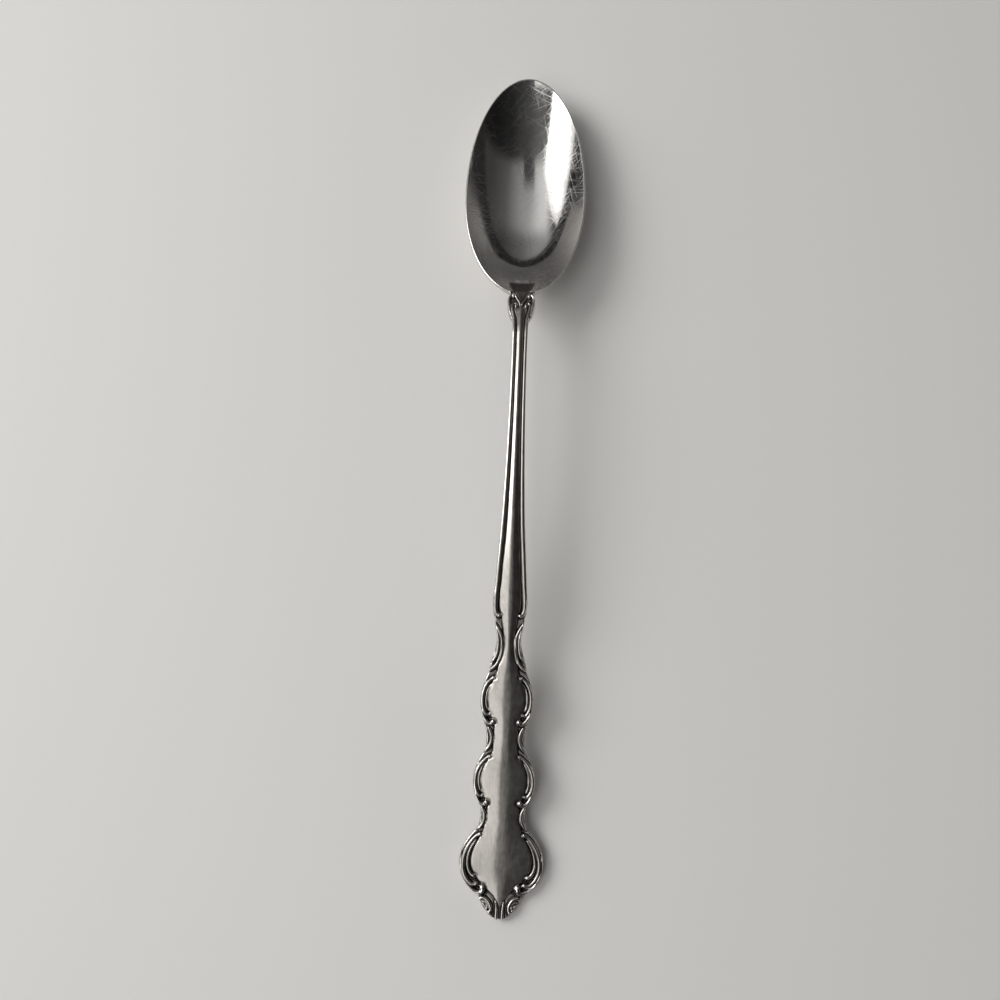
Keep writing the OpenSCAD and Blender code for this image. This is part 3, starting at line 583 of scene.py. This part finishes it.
def tip_half(s):
    """Half width of the outline: blunt at the end, and drawn in a little at the first lobe."""
    return 0.6 + 4.2 * np.clip(s / SHELL_AT, 0, 1) ** 0.5 - 0.4 * ease((s - 4.1) / 0.6)


def tip_panel(s):
    """Half width of the panel, which starts as a fine line between the leaves."""
    return 0.03 + 1.29 * np.clip((s - 2.2) / 2.5, 0, 1) ** 1.4


first_hook = handle_scrolls[2]
tip = struck_piece("tip_shell_steel", SHELL_AT * np.linspace(0, 1, 50) ** 1.3, tip_half, tip_panel,
                   leaf_scrolls + [first_hook], satin, soften=2)
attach(tip, "root")
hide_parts("tip_shell")


# Bowl: dished from the thinned end of the blank in a press, then mirror-polished inside and out. Its
# rim is a narrow bright flat, and wear has flattened the lowest place underneath.
BOWL_L = 56.0
BOWL_W = 27.9
FRONT_L = 31.0
MIDDLE_AT = LENGTH - FRONT_L
RIM_H = 7.5
RIM_T = 1.0
RIM_FLAT = 0.45
BOWL_T = 1.3
REST = 9.0 / BOWL_L
ROOT_W = 6.0
DROP = 0.35
INNER_FULL = 2.3
OUTER_FULL = 2.2


def polished_stainless():
    """Mirror-polished stainless steel, dulled by years of use: hair scratches in every direction, and
    a faint bloom where the bowl is wiped."""
    metal, tree, steel, where = new_metal("polished_stainless_steel")

    # Scratches about 1 cm long. Real ones are 0.02 mm wide; 0.14 mm is what shows
    total = 0.0
    for angle, shift in ((14, 0.013), (62, 0.031), (-38, 0.057), (-70, 0.083)):
        turned = add(tree, "ShaderNodeMapping", {"vector_type": "TEXTURE"}, {
            "Vector": where, "Location": (shift, shift, 0), "Rotation": (0, 0, math.radians(angle)),
            "Scale": (1, 80, 80)})
        hairs = add(tree, "ShaderNodeTexNoise", inputs={
            "Vector": turned, "Scale": 7000.0, "Detail": 1.0})
        lines = add(tree, "ShaderNodeMapRange", SMOOTH, {
            "Value": hairs, "From Min": 0.63, "From Max": 0.7})
        total = add(tree, "ShaderNodeMath", {"operation": "MAXIMUM"}, {0: total, 1: lines})

    # Bloom lies in patches about 9 mm across
    bloom = add(tree, "ShaderNodeTexNoise", inputs={"Vector": where, "Scale": 110.0, "Detail": 4.0})
    dull = add(tree, "ShaderNodeMapRange", inputs={
        "Value": bloom, "From Min": 0.35, "From Max": 0.7, "To Min": 0.07, "To Max": 0.14})
    worn = add(tree, "ShaderNodeMath", TIMES_PLUS, {0: total, 1: 0.16, 2: dull})

    # The polish fades towards the neck, over the last 5 mm and on the drop that runs on from it
    tongue = drop_mask(tree, where)
    at = add(tree, "ShaderNodeSeparateXYZ", inputs={0: where})
    root = add(tree, "ShaderNodeMapRange", SMOOTH, {
        "Value": at.outputs["Y"], "From Min": at_station(BOWL_AT + 5), "From Max": at_station(BOWL_AT),
        "To Max": 0.2})
    rough = add(tree, "ShaderNodeMath", PLUS, {0: worn, 1: root})
    rougher = add(tree, "ShaderNodeMath", TIMES_PLUS, {0: tongue, 1: 0.12, 2: rough})
    tree.links.new(rougher.outputs[0], steel.inputs["Roughness"])

    clean = add(tree, "ShaderNodeMix", COLOUR, {0: bloom, 6: linear("cbc8c4"), 7: linear("d6d4d1")})
    # On the drop the colour turns dark: a painted reflection of the dark ceiling that its flat face
    # mirrors
    colour = add(tree, "ShaderNodeMix", COLOUR, {
        0: tongue, 6: clean.outputs[2], 7: linear(DROP_PAINTED_REFLECTION)})
    tree.links.new(colour.outputs[2], steel.inputs["Base Color"])
    bump = add(tree, "ShaderNodeBump", inputs={
        "Height": total, "Strength": 0.12, "Distance": 0.01 * MM})
    tree.links.new(bump.outputs[0], steel.inputs["Normal"])
    return metal


polished = polished_stainless()

# The rim seen from above: half an ellipse in front of the bowl's middle and a longer one behind, cut
# off straight at the root. Each point has its angle round the middle, 0 at the bowl's tip
root_angle = math.asin(ROOT_W / BOWL_W)
BACK_L = (BOWL_L - FRONT_L) / math.cos(root_angle)
side_angles = np.linspace(0, math.pi - root_angle, 100)
root_angles = np.linspace(math.pi - root_angle, math.pi, 15)[1:]
half_angles = np.concatenate([side_angles, root_angles])
angles = np.concatenate([half_angles, 2 * math.pi - half_angles[-2:0:-1]])
reach = np.where(np.cos(angles) > 0, FRONT_L, BACK_L) * np.cos(angles)
rim_x = BOWL_W / 2 * np.sin(angles)
cut_off = np.maximum(BOWL_AT - MIDDLE_AT - reach, 0)
rim_y = reach + cut_off
behind = np.cos(angles) < 0
drop_at = np.where(behind, DROP * (1 - ease((np.abs(rim_x) - 1.6) / 0.6)), 0)
root_top = border_z(BOWL_AT)
root_back = along(back_line, BOWL_AT)
# The rim falls away from the root, first fast and then slowly, down to the bowl's tip
fast_share, fast_reach, slow_full = 0.476, 0.112, 1.37
along_bowl = np.clip((MIDDLE_AT + rim_y - BOWL_AT) / BOWL_L, 0, 1)
fall = (fast_share * np.exp(-along_bowl / fast_reach)
        + (1 - fast_share) * (1 - along_bowl) ** slow_full)
whole_z = RIM_H + (root_top - RIM_H) * fall
rim_z = whole_z - drop_at
# At the root the rim is as thick as the neck
near_neck = np.where(behind, np.exp(-(rim_x / ROOT_W) ** 4), 0)
rim_thick = RIM_T + (rim_z - root_back - RIM_T) * near_neck


def bowl_ring(inset, share, z):
    """A ring of the bowl. Its back is cut straight for the neck's joint and round away from it. share
    is its part of the way from the middle to the outline, and inset its mm in from there, which
    narrow to a fine line at the neck."""
    ring_y = reach + cut_off * ease((share - 0.8) / 0.2)
    r = np.hypot(rim_x, ring_y)
    k = share * (r - inset * (1 - 0.93 * near_neck)) / r
    return np.stack([rim_x * k, ring_y * k + MIDDLE_AT - LENGTH / 2, z], axis=1)


# Rings from the middle of the inside up to the rim
rings = []
for share_in in np.sin(np.linspace(0, math.pi / 2, 64))[1:]:
    # Behind, the neck's drop runs on into the bowl as a short level lip before the bowl falls away
    lip = 0.06 * np.where(behind, np.exp(-(rim_x / 6.5) ** 2), 0) * ease((share_in - 0.6) / 0.4)
    level = share_in ** INNER_FULL + lip * (1 - share_in) / 0.1
    sunk = drop_at * ease((share_in - 0.8) / 0.15)
    inner_z = BOWL_T + (whole_z - BOWL_T) * np.minimum(level, 1) - sunk
    rings.append(bowl_ring(RIM_FLAT, share_in, inner_z))
# Over the rim's rounded edge and down its side: inset, and depth as a share of the rim's thickness
for inset, down in ((0.3, 0), (0.22, 0.01), (0.14, 0.05), (0.07, 0.12), (0.02, 0.22), (0, 0.34)):
    rings.append(bowl_ring(inset, 1, rim_z - down * (1 - near_neck) * rim_thick))
for inset, down in ((0, 0.5), (0, 0.66), (0.02, 0.8), (0.09, 0.9)):
    rings.append(bowl_ring(inset, 1, rim_z - down * rim_thick))
# From a rounded lower edge, under the bowl to the worn flat that it rests on
for u in np.linspace(1, 0, 46):
    outer_z = (rim_z - rim_thick) * u ** (OUTER_FULL * (1 - REST))
    rings.append(bowl_ring(0.18 * u ** 8, REST + (1 - REST) * u, outer_z))
n_around = len(angles)
centre = [[0, MIDDLE_AT - LENGTH / 2, BOWL_T]]
under = [[0, MIDDLE_AT - LENGTH / 2, 0]]
points = np.concatenate([centre] + rings + [under]) * MM
grid = 1 + np.arange(len(rings) * n_around).reshape(len(rings), n_around)
a, b = grid[:-1], grid[1:]
quads = np.stack([a, b, np.roll(b, -1, 1), np.roll(a, -1, 1)], axis=2).reshape(-1, 4).tolist()
last = len(points) - 1
inner = [[0, int(grid[0, i]), int(grid[0, (i + 1) % n_around])] for i in range(n_around)]
outer = [[last, int(grid[-1, (i + 1) % n_around]), int(grid[-1, i])] for i in range(n_around)]
bowl_mesh = bpy.data.meshes.new("bowl_steel")
bowl_mesh.from_pydata(points.tolist(), [], quads + inner + outer)
bowl_mesh.polygons.foreach_set("use_smooth", [True] * len(bowl_mesh.polygons))
bowl_mesh.materials.append(polished)
bowl = bpy.data.objects.new("bowl_steel", bowl_mesh)
bpy.context.scene.collection.objects.link(bowl)
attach(bowl, "root")
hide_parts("bowl")


# Studio: a pale floor that the spoon lies on, a window-like soft light on the left, and grey
# surroundings that are darker on the right, which give the steel its light and dark sides.
CORNERS = 64
FLOOR_R = 6.0
SCREEN_R = 1.5
SCREEN_LOW, SCREEN_HIGH = 0.02, 0.5

floor_mesh = bpy.data.meshes.new("floor")
circle = [(math.cos(t), math.sin(t)) for t in np.linspace(0, 2 * math.pi, CORNERS, endpoint=False)]
floor_mesh.from_pydata([(FLOOR_R * x, FLOOR_R * y, 0) for x, y in circle], [], [list(range(CORNERS))])
floor = bpy.data.objects.new("floor", floor_mesh)
bpy.context.scene.collection.objects.link(floor)
paper = bpy.data.materials.new("pale_paper")
paper.use_nodes = True
paper.node_tree.nodes["Principled BSDF"].inputs["Base Color"].default_value = linear("e4e2de")
paper.node_tree.nodes["Principled BSDF"].inputs["Roughness"].default_value = 0.8
floor_mesh.materials.append(paper)

world = bpy.data.worlds.new("studio")
bpy.context.scene.world = world
world.use_nodes = True
sky = world.node_tree
way = add(sky, "ShaderNodeTexCoord").outputs["Generated"]
axis = add(sky, "ShaderNodeSeparateXYZ", inputs={0: way})
x_way, y_way, z_way = axis.outputs["X"], axis.outputs["Y"], axis.outputs["Z"]
# Level of the ceiling from the window side to the far side
across = add(sky, "ShaderNodeMapRange", inputs={"Value": x_way, "From Min": -1.0})
ceiling = add(sky, "ShaderNodeValToRGB", inputs={"Fac": across})
ceiling_levels = [(-0.66, 0.12), (-0.52, 0.85), (-0.34, 0.82), (-0.08, 0.46), (0.2, 0.27), (0.45, 0.13),
                  (0.8, 0.06)]
while len(ceiling.color_ramp.elements) < len(ceiling_levels):
    ceiling.color_ramp.elements.new(0.5)
for stop, (x, bright) in zip(ceiling.color_ramp.elements, ceiling_levels):
    stop.position = (x + 1) / 2
    stop.color = (bright, bright, bright, 1)
# It ends in a dark wall behind the camera, whose own dark shape reaches a little way in
shape_start = add(sky, "ShaderNodeMapRange", SMOOTH, {
    "Value": x_way, "From Min": -0.24, "From Max": -0.18, "To Max": 0.14})
shape_end = add(sky, "ShaderNodeMapRange", SMOOTH, {
    "Value": x_way, "From Min": 0.02, "From Max": 0.08, "To Min": 1.0, "To Max": 0.0})
camera_shape = add(sky, "ShaderNodeMath", TIMES, {0: shape_start, 1: shape_end})
wall_edge = add(sky, "ShaderNodeMath", MINUS, {0: y_way, 1: camera_shape})
behind_camera = add(sky, "ShaderNodeMapRange", SMOOTH, {
    "Value": wall_edge, "From Min": 0.2, "From Max": 0.28, "To Min": 0.17})
ahead = add(sky, "ShaderNodeMapRange", SMOOTH, {
    "Value": y_way, "From Min": 0.55, "From Max": 0.8, "To Min": 1.0, "To Max": 0.4})
lit = add(sky, "ShaderNodeMath", TIMES, {0: ceiling, 1: behind_camera})
lit_ahead = add(sky, "ShaderNodeMath", TIMES, {0: lit, 1: ahead})
# Pale walls stand below the ceiling
wall = add(sky, "ShaderNodeMapRange", SMOOTH, {
    "Value": z_way, "From Min": 0.2, "From Max": 0.3, "To Min": 1.0, "To Max": 0.0})
level = add(sky, "ShaderNodeMix", {"data_type": "FLOAT"}, {0: wall, 2: lit_ahead, 3: 0.86})
sky_out = sky.nodes["Background"]
sky.links.new(level.outputs[0], sky_out.inputs["Color"])
sky_out.inputs["Strength"].default_value = 1.0


def soft_box(name, place, target, width, height, roll, radiance):
    """A rectangular light as evenly bright as a window: its power follows its size. A grid on its
    front keeps it off the floor at its foot."""
    data = bpy.data.lights.new(name, "AREA")
    data.shape = "RECTANGLE"
    data.size, data.size_y = width, height
    half_spread = math.radians(60)
    data.spread = 2 * half_spread
    data.energy = radiance * math.pi * width * height * (1 - half_spread / math.tan(half_spread))
    lamp = bpy.data.objects.new(name, data)
    facing = (Vector(target) - Vector(place)).to_track_quat("-Z", "Y").to_matrix()
    turned = facing @ Matrix.Rotation(math.radians(roll), 3, "Z")
    lamp.matrix_world = Matrix.Translation(place) @ turned.to_4x4()
    bpy.context.scene.collection.objects.link(lamp)


# The window, with a dimmer curtain a little way behind it, and a soft light behind the camera
soft_box("window", (-0.765, 0.225, 0.54), (0, 0.03, 0), 0.5, 0.54, 68, 7)
soft_box("curtain", (-0.87, 0.235, 0.55), (0, 0.03, 0), 0.78, 0.9, 68, 1.25)
soft_box("rear_box", (-0.45, -0.42, 0.78), (0, -0.06, 0), 0.62, 0.62, -40, 2.3)

# A ring of black felt round the spoon, which the steel mirrors and the camera doesn't see
screen_mesh = bpy.data.meshes.new("screen")
low = [(SCREEN_R * x, SCREEN_R * y, SCREEN_LOW) for x, y in circle]
high = [(x, y, SCREEN_HIGH) for x, y, _ in low]
panels = [[i, (i + 1) % CORNERS, CORNERS + (i + 1) % CORNERS, CORNERS + i] for i in range(CORNERS)]
screen_mesh.from_pydata(low + high, [], panels)
screen = bpy.data.objects.new("screen", screen_mesh)
bpy.context.scene.collection.objects.link(screen)
felt = bpy.data.materials.new("black_felt")
felt.use_nodes = True
felt.node_tree.nodes["Principled BSDF"].inputs["Base Color"].default_value = linear("3a3a3a")
felt.node_tree.nodes["Principled BSDF"].inputs["Roughness"].default_value = 1.0
screen_mesh.materials.append(felt)
screen.visible_camera = False
screen.visible_diffuse = False
screen.visible_shadow = False

# Camera: the photograph's place, over the handle and 221 mm above the table, 11.6 degrees off
# straight down, with a view of 53 degrees across the square frame
eye = bpy.data.cameras.new("camera")
eye.lens = 36.0
eye.sensor_width = 36.0
camera = bpy.data.objects.new("camera", eye)
forward = Vector((-0.02328528, 0.20000552, -0.97951804))
up_way = Vector((-0.03503947, 0.97901844, 0.20073647))
side = forward.cross(up_way).normalized()
up_way = side.cross(forward).normalized()
turn = Matrix((side, up_way, -forward.normalized())).transposed().to_4x4()
camera.matrix_world = Matrix.Translation(Vector((2.0, 43.461 - LENGTH / 2, 221.272)) * MM) @ turn
eye.clip_start = 0.01
eye.clip_end = 20
bpy.context.scene.collection.objects.link(camera)
bpy.context.scene.camera = camera
bpy.context.scene.view_settings.view_transform = "Standard"
